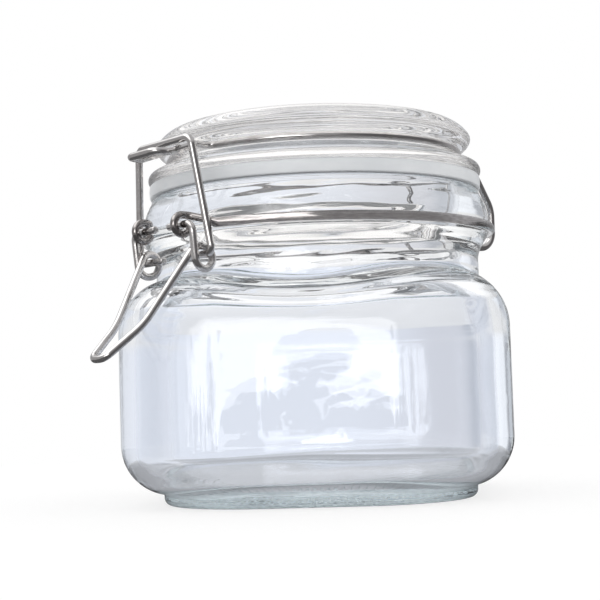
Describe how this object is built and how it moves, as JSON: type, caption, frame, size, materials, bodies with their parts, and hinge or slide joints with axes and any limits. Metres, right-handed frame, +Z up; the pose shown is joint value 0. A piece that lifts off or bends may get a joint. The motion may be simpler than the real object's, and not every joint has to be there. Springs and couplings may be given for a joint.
{
  "type": "lidded glass canister",
  "caption": "Clear glass storage canister with a rounded-square body, round neck, domed glass lid on a rubber ring and a hinged wire clip closure.",
  "frame": {"origin": "on the jar's axis at the base plane, where the foot stands", "axes": "+Z up; -Y towards the latch, which is the front; +Y towards the hinge; +X to the right seen from the front"},
  "size_m": [0.123, 0.1359, 0.1044],
  "materials": {
    "jar_glass": "clear, glossy, fire polished",
    "lid_glass": "clear, glossy, fire polished",
    "rubber": "pale translucent matte rubber",
    "steel": "bright drawn stainless wire"
  },
  "bodies": {
    "jar": {"jar_body": "jar_glass", "neck_wire": "steel"},
    "lid": {"glass_lid": "lid_glass", "gasket": "rubber", "lid_wire": "steel"},
    "lever": {"lever": "steel"},
    "bail": {"bail": "steel"}
  },
  "joints": [
    {"name": "lid_hinge", "type": "hinge", "parent": "jar", "child": "lid", "pos_m": [0, 0.051, 0.0736], "axis": [-1, 0, 0], "range_deg": [0, 110]},
    {"name": "lever_pivot", "type": "hinge", "parent": "jar", "child": "lever", "pos_m": [0, -0.0529, 0.0734], "axis": [-1, 0, 0], "range_deg": [0, 125]},
    {"name": "bail_swing", "type": "hinge", "parent": "lever", "child": "bail", "pos_m": [0, -0.049, 0.0655], "axis": [-1, 0, 0], "range_deg": [-125, 0]}
  ],
  "couplings": [
    {"joint": "bail_swing", "follows": "lever_pivot", "ratio": -1}
  ]
}
